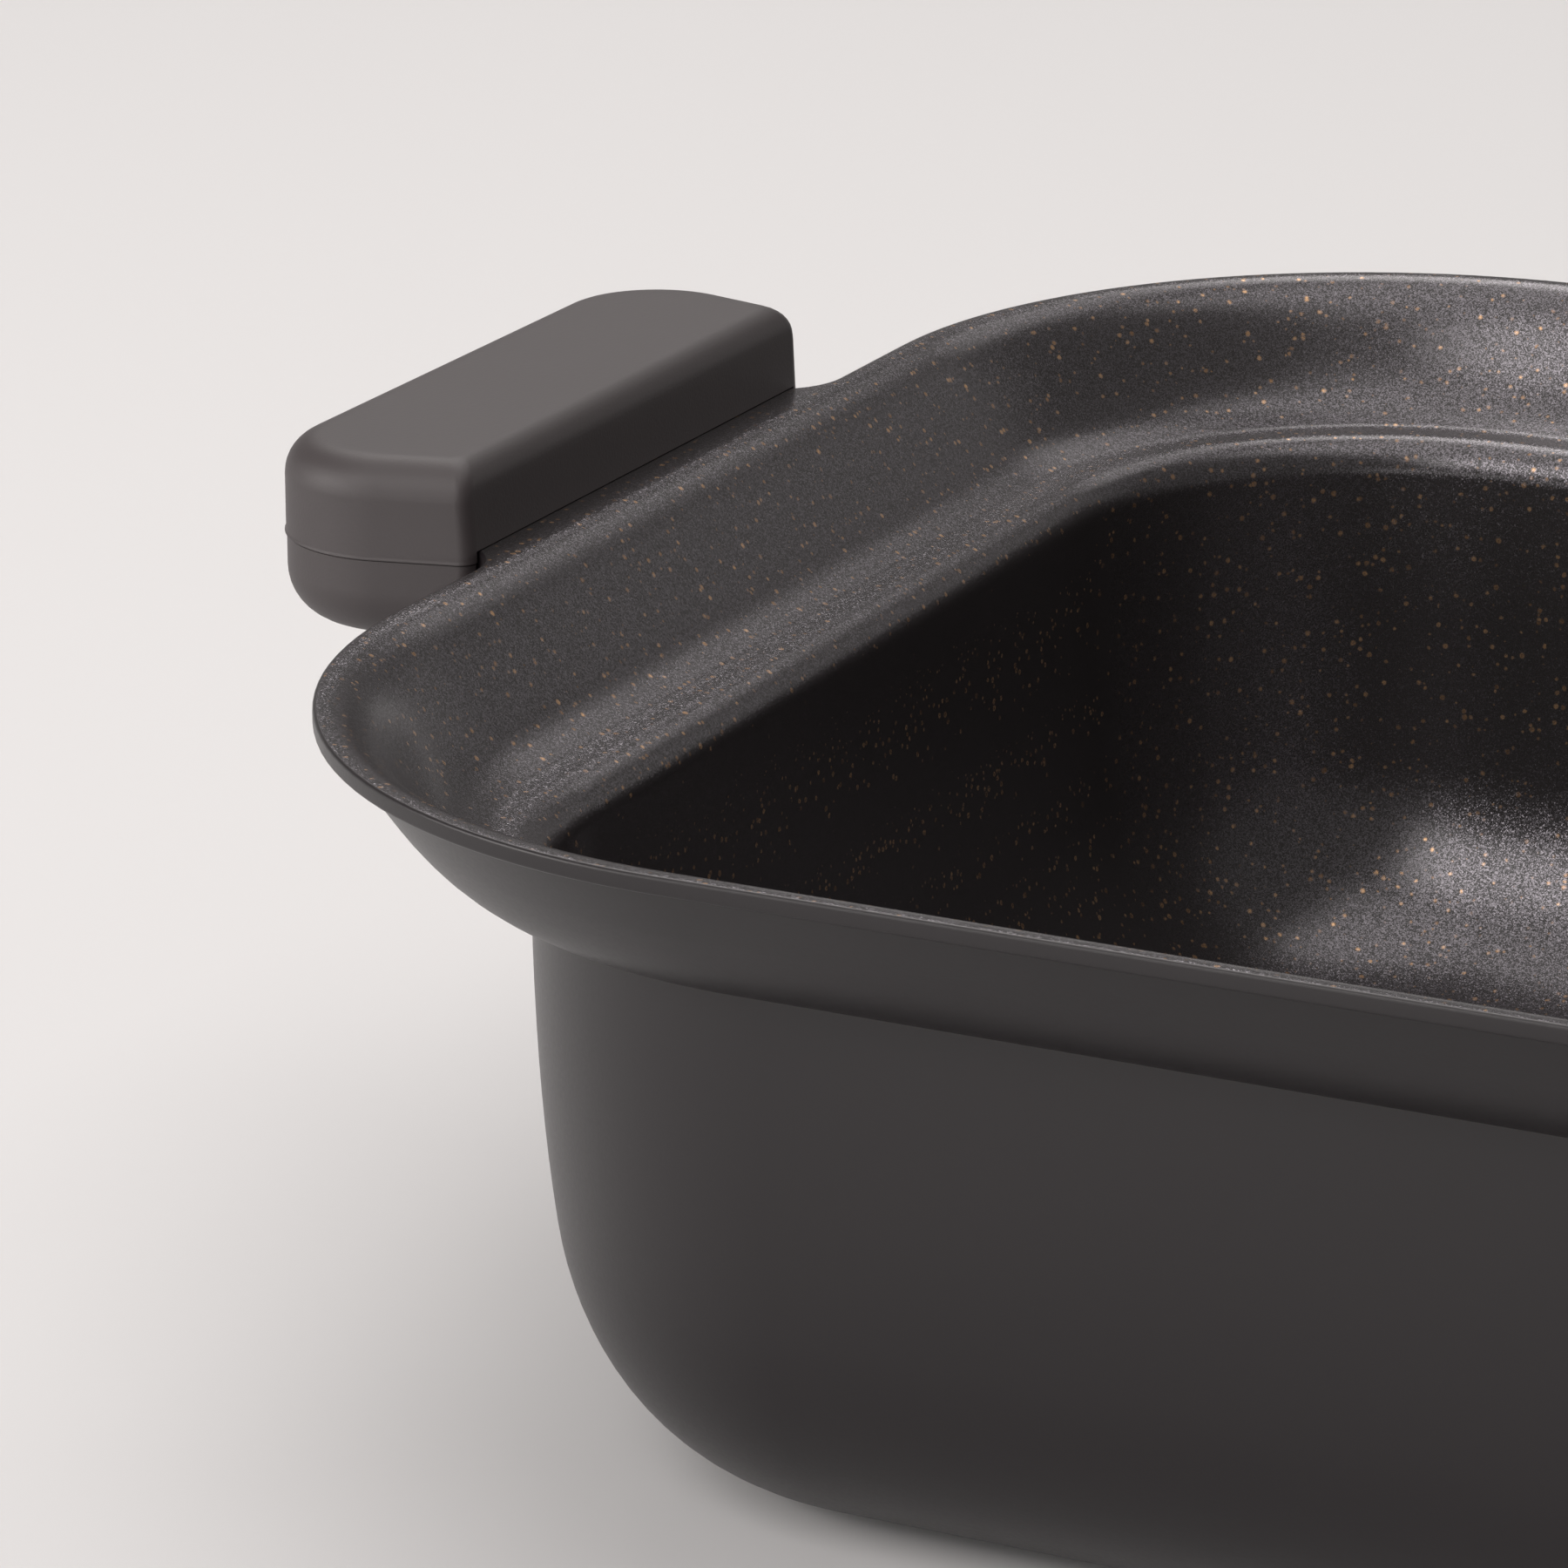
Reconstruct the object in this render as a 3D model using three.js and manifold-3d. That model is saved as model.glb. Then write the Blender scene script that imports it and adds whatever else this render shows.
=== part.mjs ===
// A square hot pot: a cast aluminium pot with a flared rim, a stepped lid seat and a tab at each
// side, two moulded grips screwed to the tabs from below, and a perforated steel plate pressed
// into the base. Millimetres, +Z up. The origin is the middle of the base, and the handles lie
// along X.

import * as THREE from 'three';
import { mergeVertices } from 'three/addons/utils/BufferGeometryUtils.js';
import Module from 'manifold-3d';

// Pot, outside
const POT_HEIGHT = 87;
const RIM_HALF = 130; // middle of the pot to the lip's face
const RIM_CORNER = 66.25; // corner radius of the rim in plan
const LIP_HEIGHT = 2;
const LIP_OVERHANG = 2.5; // lip past the flare below it
const LIP_EDGE = 0.35; // broken edge on top of the lip
const FLARE_DROP = 18.8; // rim to the step above the well
const WELL_HALF = 107.3; // well at the step
const HAUNCH_HALF = 104.9; // where the wall turns into the bottom radius
const HAUNCH_Z = 29;
const BASE_HALF = 75; // flat of the base

// Pot, inside
const WALL = 3.2;
const FLOOR = 5;
const LAND = 0.6; // flat top of the lip
const ROLL_DROP = 3.6; // the lip rolls over into the flare
const ROLL_IN = 5.8;
const SEAT_HALF = 111.9; // outer edge of the lid seat
const SEAT_DROP = 15.8; // rim to the lid seat
const RISER_HEIGHT = 0.8; // small riser round the seat, which centres a lid
const RISER_RUN = 1.4;
const SEAT_WIDTH = 4.2;
const SEAT_ROUND = 6; // seat rounds over into the well

// Curves of the pot's section: how far each runs on straight from its end
const BASE_RUN = 18;
const HAUNCH_RUN = new THREE.Vector2(2, 14.5);
const WALL_KNEE_Z = 46;
const FLARE_FOOT_RUN = 9.2;
const FLARE_TOP_RUN = new THREE.Vector2(5.9, 9.9);
const ROLL_RUN = 3;
const FLARE_IN_RUN = new THREE.Vector2(2.8, 3.6);
const SEAT_RUN = new THREE.Vector2(4.4, 1.4);
const FLOOR_RUN = 17;

// Tabs cast flush with the top of the rim, and their webs
const TAB_THICK = 3.6;
const TAB_HALF = 37;
const TAB_END = 152;
const TAB_FILLET = 9;
const TAB_CORNER = 6;
const WEB_DROP = 8.8; // foot of the web below the rim
const WEB_IN = 7; // foot of the web inside the lip's face
const WEB_OUT = 1.5; // web past the lip's face

// Grips
const GRIP_IN = 132.9; // middle of the pot to the grip's mouth, at the parting line
const GRIP_OUT = 160.7;
const GRIP_MOUTH_HALF = 41.2;
const GRIP_SPREAD = 0.25; // ends open outwards, this much per mm
const GRIP_CORNER = 13.5;
const GRIP_ABOVE = 10.1; // top above the rim
const GRIP_BELOW = 11.2; // underside below the rim
const GRIP_TOP_ROUND = 4.5;
const GRIP_BOTTOM_ROUND = 6.1;
const GRIP_INNER_ROUND = 3;
const GRIP_INNER_DRAFT = 0.06;
const GRIP_EDGE = 1.2; // upright edges of the mouth
const PARTING_DROP = 1.1; // parting line below the rim
const PARTING_BEAD = 0.15;
const MOUTH_RELIEF = 2.4; // slot widens at the mouth, round the tab's root
const MOUTH_RELIEF_DEPTH = 5.5;
const MOUTH_RELIEF_STRAIGHT = 0.9;

// Fasteners, two sets under each grip
const SCREW_X = 142.5;
const SCREW_SPACING = 40;
const SHANK_R = 1.95;
const SHANK_LENGTH = 14;
const HEAD_R = 3.8;
const HEAD_HEIGHT = 2.3;
const HEAD_EDGE = 0.7;
const RECESS_SPAN = 4.6;
const RECESS_WIDTH = 0.9;
const RECESS_DEPTH = 1.3;
const WASHER_R = 3.7;
const WASHER_THICK = 0.9;
const WASHER_SPLIT = 0.16; // radians
const COUNTERBORE_R = 4.3;
const COUNTERBORE_DEPTH = 3.7;
const PASSAGE_R = 2.4;
const INSERT_R = 3.2;
const INSERT_BORE = 2.3;
const INSERT_LENGTH = 6.4;
const INSERT_GROOVE = 0.45; // depth of the groove round the insert's middle
const INSERT_BAND = 2.2; // plain band at each end

// Induction plate
const PLATE_R = 65;
const PLATE_THICK = 1.2;
const HOLE_R = 2.2;
const HOLE_RINGS = [
  { radius: 18, count: 8 },
  { radius: 33, count: 14 },
  { radius: 48, count: 20 },
];

// Fits and facets
const GAP = 0.3; // between pieces that are cut to each other
const SEATED = 0.1; // between pieces that are pulled together
const CORNER_STEPS = 11;
const CURVE_STEPS = 6;
const ROUND_STEPS = 5;
const BORE_SIDES = 16;
const PLATE_SIDES = 48;
const HOLE_SIDES = 8;

const CORNER_CENTRE = RIM_HALF - RIM_CORNER;
const STEP_Z = POT_HEIGHT - FLARE_DROP;
const SEAT_Z = POT_HEIGHT - SEAT_DROP;
const TAB_UNDER = POT_HEIGHT - TAB_THICK;
const SLOT_LOW = TAB_UNDER - SEATED;
const SLOT_HIGH = POT_HEIGHT + SEATED;
const GRIP_TOP = POT_HEIGHT + GRIP_ABOVE;
const GRIP_UNDER = POT_HEIGHT - GRIP_BELOW;
const PARTING_Z = POT_HEIGHT - PARTING_DROP;
const COUNTERBORE_Z = GRIP_UNDER + COUNTERBORE_DEPTH;
const WASHER_Z = COUNTERBORE_Z - SEATED - WASHER_THICK;
const HEAD_Z = WASHER_Z - SEATED;
const INSERT_Z = SLOT_HIGH + SEATED;

const wasm = await Module();
wasm.setup();

// A closed geometry as a solid that can be joined and cut.
function solid(geometry) {
  const bare = geometry.clone();
  bare.deleteAttribute('normal');
  bare.deleteAttribute('uv');
  const merged = mergeVertices(bare, 1e-5);
  const vertProperties = new Float32Array(merged.attributes.position.array);
  const triVerts = new Uint32Array(merged.index.array);
  return new wasm.Manifold(new wasm.Mesh({ numProp: 3, vertProperties, triVerts }));
}

function geometryOf(body) {
  const mesh = body.getMesh();
  const geometry = new THREE.BufferGeometry();
  geometry.setAttribute('position', new THREE.BufferAttribute(mesh.vertProperties, 3));
  geometry.setIndex(new THREE.BufferAttribute(mesh.triVerts, 1));
  return geometry;
}

// Joins a stack of closed outlines, each with as many points as the next, into a closed body.
// Both ends are closed from their middle.
function loft(outlines) {
  const count = outlines[0].length;
  const points = outlines.flat();
  const index = [];
  for (let level = 0; level + 1 < outlines.length; level += 1) {
    for (let k = 0; k < count; k += 1) {
      const a = level * count + k;
      const b = level * count + ((k + 1) % count);
      index.push(a, b, b + count, a, b + count, a + count);
    }
  }
  const ends = [outlines[0], outlines[outlines.length - 1]];
  ends.forEach((outline, end) => {
    const first = end * (outlines.length - 1) * count;
    const middle = outline.reduce((sum, p) => sum.add(p), new THREE.Vector3()).divideScalar(count);
    points.push(middle);
    for (let k = 0; k < count; k += 1) {
      const a = first + k;
      const b = first + ((k + 1) % count);
      index.push(...(end ? [a, b, points.length - 1] : [b, a, points.length - 1]));
    }
  });
  const geometry = new THREE.BufferGeometry().setFromPoints(points);
  geometry.setIndex(index);
  return geometry;
}

// A plan outline carried upwards from one height to another.
function prism(shape, low, high) {
  const settings = { depth: high - low, bevelEnabled: false, curveSegments: CURVE_STEPS };
  return new THREE.ExtrudeGeometry(shape, settings).translate(0, 0, low);
}

// An upright round bar or bore.
function upright(radius, x, y, low, high, sides = BORE_SIDES) {
  const bar = new THREE.CylinderGeometry(radius, radius, high - low, sides);
  return bar.rotateX(Math.PI / 2).translate(x, y, (low + high) / 2);
}

// A turned piece, from its half section as [radius, height] pairs.
function turned(section) {
  const points = section.map(([radius, height]) => new THREE.Vector2(radius, height));
  return new THREE.LatheGeometry(points, BORE_SIDES).rotateX(Math.PI / 2);
}

// Half section of the pot from the edge of its base, up the outside, over the lip and down the
// inside to the edge of its floor.
function potSection() {
  const lipUnder = POT_HEIGHT - LIP_HEIGHT;
  const flareTop = RIM_HALF - LIP_OVERHANG;
  const landEnd = RIM_HALF - LIP_EDGE - LAND;
  const roll = new THREE.Vector2(landEnd - ROLL_IN, POT_HEIGHT - ROLL_DROP);
  const riser = new THREE.Vector2(SEAT_HALF + RISER_RUN, SEAT_Z + RISER_HEIGHT);
  const inside = WELL_HALF - WALL;
  const insideHaunch = new THREE.Vector2(HAUNCH_HALF - WALL, HAUNCH_Z + 1);
  const floorHalf = BASE_HALF - 1;

  const section = new THREE.Path();
  section.moveTo(BASE_HALF, 0);
  section.bezierCurveTo(
    BASE_HALF + BASE_RUN, 0,
    HAUNCH_HALF - HAUNCH_RUN.x, HAUNCH_Z - HAUNCH_RUN.y,
    HAUNCH_HALF, HAUNCH_Z,
  );
  section.quadraticCurveTo(WELL_HALF, WALL_KNEE_Z, WELL_HALF, STEP_Z);
  section.bezierCurveTo(
    WELL_HALF + FLARE_FOOT_RUN, STEP_Z,
    flareTop - FLARE_TOP_RUN.x, lipUnder - FLARE_TOP_RUN.y,
    flareTop, lipUnder,
  );
  section.lineTo(RIM_HALF, lipUnder);
  section.lineTo(RIM_HALF, POT_HEIGHT - LIP_EDGE);
  section.lineTo(RIM_HALF - LIP_EDGE, POT_HEIGHT);
  section.lineTo(landEnd, POT_HEIGHT);
  section.quadraticCurveTo(landEnd - ROLL_RUN, POT_HEIGHT, roll.x, roll.y);
  section.bezierCurveTo(
    roll.x - FLARE_IN_RUN.x, roll.y - FLARE_IN_RUN.y,
    riser.x + SEAT_RUN.x, riser.y + SEAT_RUN.y,
    riser.x, riser.y,
  );
  section.lineTo(SEAT_HALF, SEAT_Z);
  section.lineTo(SEAT_HALF - SEAT_WIDTH, SEAT_Z);
  section.quadraticCurveTo(inside, SEAT_Z, inside, SEAT_Z - SEAT_ROUND);
  section.quadraticCurveTo(inside, WALL_KNEE_Z, insideHaunch.x, insideHaunch.y);
  section.bezierCurveTo(
    insideHaunch.x - HAUNCH_RUN.x, insideHaunch.y - HAUNCH_RUN.y * (1 - FLOOR / HAUNCH_Z),
    floorHalf + FLOOR_RUN, FLOOR,
    floorHalf, FLOOR,
  );
  return section.getPoints(CURVE_STEPS);
}

// A rounded square at one height. Every level turns its corners about the same four centres.
function roundedSquare(half, z) {
  const outline = [];
  for (let corner = 0; corner < 4; corner += 1) {
    for (let k = 0; k <= CORNER_STEPS; k += 1) {
      const angle = (corner + k / CORNER_STEPS) * Math.PI / 2;
      const middle = (corner + 0.5) * Math.PI / 2;
      const centre = CORNER_CENTRE * Math.SQRT2;
      const radius = half - CORNER_CENTRE;
      const x = centre * Math.cos(middle) + radius * Math.cos(angle);
      const y = centre * Math.sin(middle) + radius * Math.sin(angle);
      outline.push(new THREE.Vector3(x, y, z));
    }
  }
  return outline;
}

// Plan of the tab. It starts on top of the lip and blends into the rim by a fillet at each side.
function tabPlan() {
  const start = RIM_HALF - LIP_EDGE - LAND;
  const root = TAB_HALF + TAB_FILLET;
  const filletX = RIM_HALF + TAB_FILLET;
  const cornerX = TAB_END - TAB_CORNER;
  const cornerY = TAB_HALF - TAB_CORNER;
  const shape = new THREE.Shape();
  shape.moveTo(start, -root);
  shape.lineTo(RIM_HALF, -root);
  shape.absarc(filletX, -root, TAB_FILLET, Math.PI, Math.PI / 2, true);
  shape.absarc(cornerX, -cornerY, TAB_CORNER, -Math.PI / 2, 0, false);
  shape.absarc(cornerX, cornerY, TAB_CORNER, 0, Math.PI / 2, false);
  shape.absarc(filletX, root, TAB_FILLET, -Math.PI / 2, -Math.PI, true);
  shape.lineTo(start, root);
  return shape;
}

// Upright section of the web that carries the tab: a hollow curve from the flare to the tab's
// underside, closed inside the metal of the lip.
function webSection() {
  const foot = new THREE.Vector2(RIM_HALF - WEB_IN, POT_HEIGHT - WEB_DROP);
  const lipUnder = POT_HEIGHT - LIP_HEIGHT;
  const shape = new THREE.Shape();
  shape.moveTo(foot.x, foot.y);
  shape.quadraticCurveTo(foot.x + WEB_IN / 3, TAB_UNDER, RIM_HALF + WEB_OUT, TAB_UNDER);
  shape.lineTo(RIM_HALF + WEB_OUT, lipUnder);
  shape.lineTo(foot.x + WEB_IN / 3, lipUnder - LIP_EDGE);
  return shape;
}

function tab() {
  const blade = solid(prism(tabPlan(), TAB_UNDER, POT_HEIGHT));
  const web = prism(webSection(), -TAB_HALF, TAB_HALF).rotateX(Math.PI / 2);
  return blade.add(solid(web));
}

const screwSides = [-1, 1];

// The casting: the swept pot with both tabs, their screw holes and the recess for the plate.
function potBody() {
  const levels = potSection().map((p) => roundedSquare(p.x, p.y));
  let pot = solid(loft(levels));
  const oneTab = tab();
  for (const turn of [0, 180]) {
    pot = pot.add(oneTab.rotate([0, 0, turn]));
    for (const side of screwSides) {
      const y = side * SCREW_SPACING / 2;
      const hole = solid(upright(PASSAGE_R, SCREW_X, y, TAB_UNDER - 1, POT_HEIGHT + 1));
      pot = pot.subtract(hole.rotate([0, 0, turn]));
    }
  }
  const recess = upright(PLATE_R + GAP, 0, 0, -1, PLATE_THICK + SEATED, PLATE_SIDES);
  return geometryOf(pot.subtract(solid(recess)));
}

// Plan of a grip at one height, drawn in by an inset: ends that open outwards, two large outer
// corners, and broken edges at the mouth.
function gripOutline(z, inset, inner) {
  const lean = Math.atan(GRIP_SPREAD);
  const corner = GRIP_CORNER - inset;
  const half = GRIP_MOUTH_HALF - inset / Math.cos(lean);
  const endAt = (x) => half + GRIP_SPREAD * (x - GRIP_IN);
  const centreX = GRIP_OUT - inset - corner;
  const centreY = endAt(centreX) - corner / Math.cos(lean);
  const side = [];
  for (let k = 0; k <= 2 * ROUND_STEPS; k += 1) {
    const angle = (k / (2 * ROUND_STEPS)) * (Math.PI / 2 + lean);
    side.push([centreX + corner * Math.cos(angle), centreY + corner * Math.sin(angle)]);
  }
  side.push([inner + GRIP_EDGE, endAt(inner + GRIP_EDGE)]);
  side.push([inner, endAt(inner) - GRIP_EDGE]);
  const mirrored = side.map(([x, y]) => [x, -y]).reverse();
  return [...side, ...mirrored].map(([x, y]) => new THREE.Vector3(x, y, z));
}

// How far a quarter round of some radius draws in, at a depth below its crown.
function roundInset(radius, depth) {
  const rise = Math.max(radius - depth, 0);
  return radius - Math.sqrt(radius * radius - rise * rise);
}

function gripLevels() {
  const levels = [];
  const quarter = (k) => 1 - Math.cos((k / ROUND_STEPS) * Math.PI / 2);
  for (let k = 0; k <= ROUND_STEPS; k += 1) {
    levels.push(GRIP_UNDER + GRIP_BOTTOM_ROUND * quarter(k));
  }
  levels.push(PARTING_Z - 2 * PARTING_BEAD, PARTING_Z, PARTING_Z + 2 * PARTING_BEAD);
  for (let k = ROUND_STEPS; k >= 0; k -= 1) {
    levels.push(GRIP_TOP - GRIP_TOP_ROUND * quarter(k));
  }
  return levels.map((z) => {
    const below = GRIP_TOP - z;
    const above = z - GRIP_UNDER;
    const bead = z === PARTING_Z ? PARTING_BEAD : 0;
    const inset = roundInset(GRIP_TOP_ROUND, below) + roundInset(GRIP_BOTTOM_ROUND, above) - bead;
    const innerRound = roundInset(GRIP_INNER_ROUND, below) + roundInset(GRIP_INNER_ROUND, above);
    const inner = GRIP_IN + GRIP_INNER_DRAFT * Math.abs(z - PARTING_Z) + innerRound;
    return gripOutline(z, inset, inner);
  });
}

// Half section of a threaded insert with a groove round its middle, grown by a margin.
function insertSection(margin) {
  const outer = INSERT_R + margin;
  const waist = outer - INSERT_GROOVE;
  const low = INSERT_BAND - margin;
  const high = INSERT_LENGTH - INSERT_BAND + margin;
  return [
    [outer, 0],
    [outer, low],
    [waist, low + INSERT_GROOVE],
    [waist, high - INSERT_GROOVE],
    [outer, high],
    [outer, INSERT_LENGTH + margin],
  ];
}

// The slot in a grip that takes the tab, with its mouth widened round the tab's root.
function gripSlot() {
  const half = TAB_HALF + GAP;
  const front = GRIP_IN - MOUTH_RELIEF;
  const cornerX = TAB_END + GAP - TAB_CORNER;
  const bed = new THREE.Shape();
  bed.moveTo(front, -half);
  bed.lineTo(cornerX, -half);
  bed.absarc(cornerX, -half + TAB_CORNER, TAB_CORNER, -Math.PI / 2, 0, false);
  bed.absarc(cornerX, half - TAB_CORNER, TAB_CORNER, 0, Math.PI / 2, false);
  bed.lineTo(front, half);
  const mouth = new THREE.Shape();
  mouth.moveTo(front, -half - MOUTH_RELIEF);
  mouth.lineTo(GRIP_IN + MOUTH_RELIEF_STRAIGHT, -half - MOUTH_RELIEF);
  mouth.lineTo(GRIP_IN + MOUTH_RELIEF_DEPTH, -half);
  mouth.lineTo(GRIP_IN + MOUTH_RELIEF_DEPTH, half);
  mouth.lineTo(GRIP_IN + MOUTH_RELIEF_STRAIGHT, half + MOUTH_RELIEF);
  mouth.lineTo(front, half + MOUTH_RELIEF);
  return solid(prism(bed, SLOT_LOW, SLOT_HIGH)).add(solid(prism(mouth, SLOT_LOW, SLOT_HIGH)));
}

function grip() {
  let body = solid(loft(gripLevels())).subtract(gripSlot());
  for (const side of screwSides) {
    const y = side * SCREW_SPACING / 2;
    const counterbore = upright(COUNTERBORE_R, SCREW_X, y, GRIP_UNDER - 1, COUNTERBORE_Z);
    const passage = upright(PASSAGE_R, SCREW_X, y, COUNTERBORE_Z - 1, TAB_UNDER);
    const pocket = [[0, -1], [INSERT_R + GAP, -1], ...insertSection(GAP), [0, INSERT_LENGTH + GAP]];
    const insertBed = turned(pocket).translate(SCREW_X, y, INSERT_Z);
    body = body.subtract(solid(counterbore)).subtract(solid(passage)).subtract(solid(insertBed));
  }
  return geometryOf(body);
}

// Pan-head screw, head down: the flat of its head is at height 0 and the shank points up.
function screw() {
  const body = turned([
    [0, -HEAD_HEIGHT],
    [HEAD_R - 2 * HEAD_EDGE, -HEAD_HEIGHT],
    [HEAD_R - HEAD_EDGE / 2, -HEAD_HEIGHT + HEAD_EDGE],
    [HEAD_R, -HEAD_EDGE],
    [HEAD_R, 0],
    [SHANK_R, 0],
    [SHANK_R, SHANK_LENGTH - HEAD_EDGE],
    [SHANK_R - HEAD_EDGE, SHANK_LENGTH],
    [0, SHANK_LENGTH],
  ]);
  const arm = new THREE.BoxGeometry(RECESS_SPAN, RECESS_WIDTH, 2 * RECESS_DEPTH);
  arm.translate(0, 0, -HEAD_HEIGHT);
  const cross = solid(arm).add(solid(arm.clone().rotateZ(Math.PI / 2)));
  return geometryOf(solid(body).subtract(cross));
}

// Spring lock washer: a split ring.
function lockWasher() {
  const bore = SHANK_R + GAP;
  const start = WASHER_SPLIT / 2;
  const end = 2 * Math.PI - start;
  const ring = new THREE.Shape();
  ring.absarc(0, 0, WASHER_R, start, end, false);
  ring.absarc(0, 0, bore, end, start, true);
  return prism(ring, 0, WASHER_THICK);
}

// Threaded insert: a bored sleeve with a groove that locks it in the moulding.
function insert() {
  const wall = [[INSERT_BORE, 0], ...insertSection(0), [INSERT_BORE, INSERT_LENGTH], [INSERT_BORE, 0]];
  return turned(wall);
}

// Points round a circle, for outlines and the holes in them.
function circle(radius, x, y, sides) {
  const points = [];
  for (let k = 0; k < sides; k += 1) {
    const angle = (k / sides) * 2 * Math.PI;
    points.push(new THREE.Vector2(x + radius * Math.cos(angle), y + radius * Math.sin(angle)));
  }
  return points;
}

// Induction plate: a disc with rings of holes that key it to the casting.
function inductionPlate() {
  const disc = new THREE.Shape(circle(PLATE_R, 0, 0, PLATE_SIDES));
  for (const { radius, count } of HOLE_RINGS) {
    for (const middle of circle(radius, 0, 0, count)) {
      disc.holes.push(new THREE.Path(circle(HOLE_R, middle.x, middle.y, HOLE_SIDES)));
    }
  }
  return prism(disc, 0, PLATE_THICK);
}

const materials = {
  coating: new THREE.MeshStandardMaterial({ color: 0x3b3835, roughness: 0.5, metalness: 0.2 }),
  moulding: new THREE.MeshStandardMaterial({ color: 0x55524f, roughness: 0.75, metalness: 0 }),
  steel: new THREE.MeshStandardMaterial({ color: 0xb4b5b6, roughness: 0.35, metalness: 1 }),
  brass: new THREE.MeshStandardMaterial({ color: 0xb59a55, roughness: 0.35, metalness: 1 }),
};

function piece(name, geometry, material) {
  const mesh = new THREE.Mesh(geometry, materials[material]);
  mesh.name = name;
  return mesh;
}

const hotPot = new THREE.Group();
hotPot.add(piece('pot_body', potBody(), 'coating'));
hotPot.add(piece('induction_plate', inductionPlate(), 'steel'));

// Each handle is a grip with two sets of fasteners. The right one lies on +X, and the left one is
// the same set turned half round.
const hands = { right: 0, left: Math.PI };
for (const [hand, turn] of Object.entries(hands)) {
  const handle = new THREE.Group();
  handle.rotation.z = turn;
  handle.add(piece(`grip_${hand}`, grip(), 'moulding'));
  screwSides.forEach((side, k) => {
    const set = new THREE.Group();
    set.position.set(SCREW_X, side * SCREW_SPACING / 2, 0);
    const parts = [
      [piece(`grip_screw_${hand}_${k + 1}`, screw(), 'steel'), HEAD_Z],
      [piece(`lock_washer_${hand}_${k + 1}`, lockWasher(), 'steel'), WASHER_Z],
      [piece(`grip_insert_${hand}_${k + 1}`, insert(), 'brass'), INSERT_Z],
    ];
    for (const [mesh, z] of parts) {
      mesh.position.z = z;
      set.add(mesh);
    }
    handle.add(set);
  });
  hotPot.add(handle);
}

export default hotPot;
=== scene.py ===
# A square hot pot in its finishes: a cast pot with a flecked lining and a matte outside, two moulded
# grips screwed to its side tabs, and a steel plate pressed into its base. The functions work in
# millimetres, and every mesh is written in metres.
import math

import bmesh
import bpy
from mathutils import Matrix, Vector


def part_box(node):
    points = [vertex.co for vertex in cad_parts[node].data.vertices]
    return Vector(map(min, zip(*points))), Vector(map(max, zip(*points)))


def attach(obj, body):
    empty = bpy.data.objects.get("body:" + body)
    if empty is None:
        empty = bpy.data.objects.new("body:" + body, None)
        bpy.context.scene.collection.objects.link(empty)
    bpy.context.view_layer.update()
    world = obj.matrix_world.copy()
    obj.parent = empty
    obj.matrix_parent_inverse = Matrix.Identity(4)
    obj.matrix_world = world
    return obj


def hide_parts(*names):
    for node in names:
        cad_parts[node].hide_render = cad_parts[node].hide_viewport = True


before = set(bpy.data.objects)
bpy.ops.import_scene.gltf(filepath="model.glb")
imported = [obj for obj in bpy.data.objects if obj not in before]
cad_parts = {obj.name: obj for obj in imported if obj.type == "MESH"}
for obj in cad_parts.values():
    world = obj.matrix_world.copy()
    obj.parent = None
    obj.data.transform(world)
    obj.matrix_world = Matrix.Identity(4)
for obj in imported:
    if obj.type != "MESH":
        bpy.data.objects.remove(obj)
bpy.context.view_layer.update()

MM = 0.001
HANDS = ("right", "left")
SETS = (1, 2)


def box_mm(node):
    """A node's lowest and highest corner."""
    low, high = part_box(node)
    return low / MM, high / MM


pot_high = box_mm("pot_body")[1]
grip_low, grip_high = box_mm("grip_right")
plate_high = box_mm("induction_plate")[1]
screw_low, screw_high = box_mm("grip_screw_right_1")
washer_high = box_mm("lock_washer_right_1")[1]
insert_high = box_mm("grip_insert_right_1")[1]

# Pot, outside: half widths and heights up its section, and how far the handles of its curves run
RIM_TOP = pot_high.z
RIM_HALF = pot_high.y
RIM_CORNER = 66.25
CORNER_CENTRE = RIM_HALF - RIM_CORNER
LIP_HEIGHT = 2.0
LIP_OVERHANG = 2.5
LIP_ROUND = 0.4
STEP_Z = RIM_TOP - 18.8
WELL_HALF = 107.3
HAUNCH_HALF = 104.9
HAUNCH_Z = 29.0
BASE_HALF = 75.0
BASE_RUN = 18.0
HAUNCH_RUN = Vector((2.0, 14.5))
WALL_KNEE_Z = 46.0
FLARE_FOOT_RUN = 9.2
FLARE_TOP_RUN = Vector((5.9, 9.9))

# Pot, inside: the lip rolls over into the flare, which runs down to a small riser, the lid's seat and
# the brink of the well
WALL = 3.2
FLOOR = 5.0
FLOOR_HALF = BASE_HALF - 1.0
INNER_HAUNCH_RISE = 1.0
LAND_END = RIM_HALF - 0.95
ROLL_DROP = 3.6
ROLL_IN = 5.8
ROLL_RUN = 3.0
FLARE_IN_RUN = Vector((2.8, 3.6))
SEAT_RUN = Vector((4.4, 1.4))
SEAT_Z = RIM_TOP - 15.8
SEAT_HALF = 111.9
SEAT_WIDTH = 4.2
BRINK_SOFT = 1.7
BRINK_IN = 0.7
BRINK_DROP = 4.6
BRINK_RUN = 2.54
RISER = Vector((1.4, 0.8))
RISER_SOFT = 1.5
RISER_SHARE = 0.88
FLOOR_RUN = 17.0

# Tabs, and the web that carries each of them
TAB_END = pot_high.x
TAB_THICK = 3.6
TAB_HALF = 37.0
TAB_FILLET = 9.0
TAB_CORNER = 6.0
TAB_ROOT = TAB_HALF + TAB_FILLET
WEB_SHARE = 0.74
WEB_OUT = 1.5
SLOPE_STEP = 0.01

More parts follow.
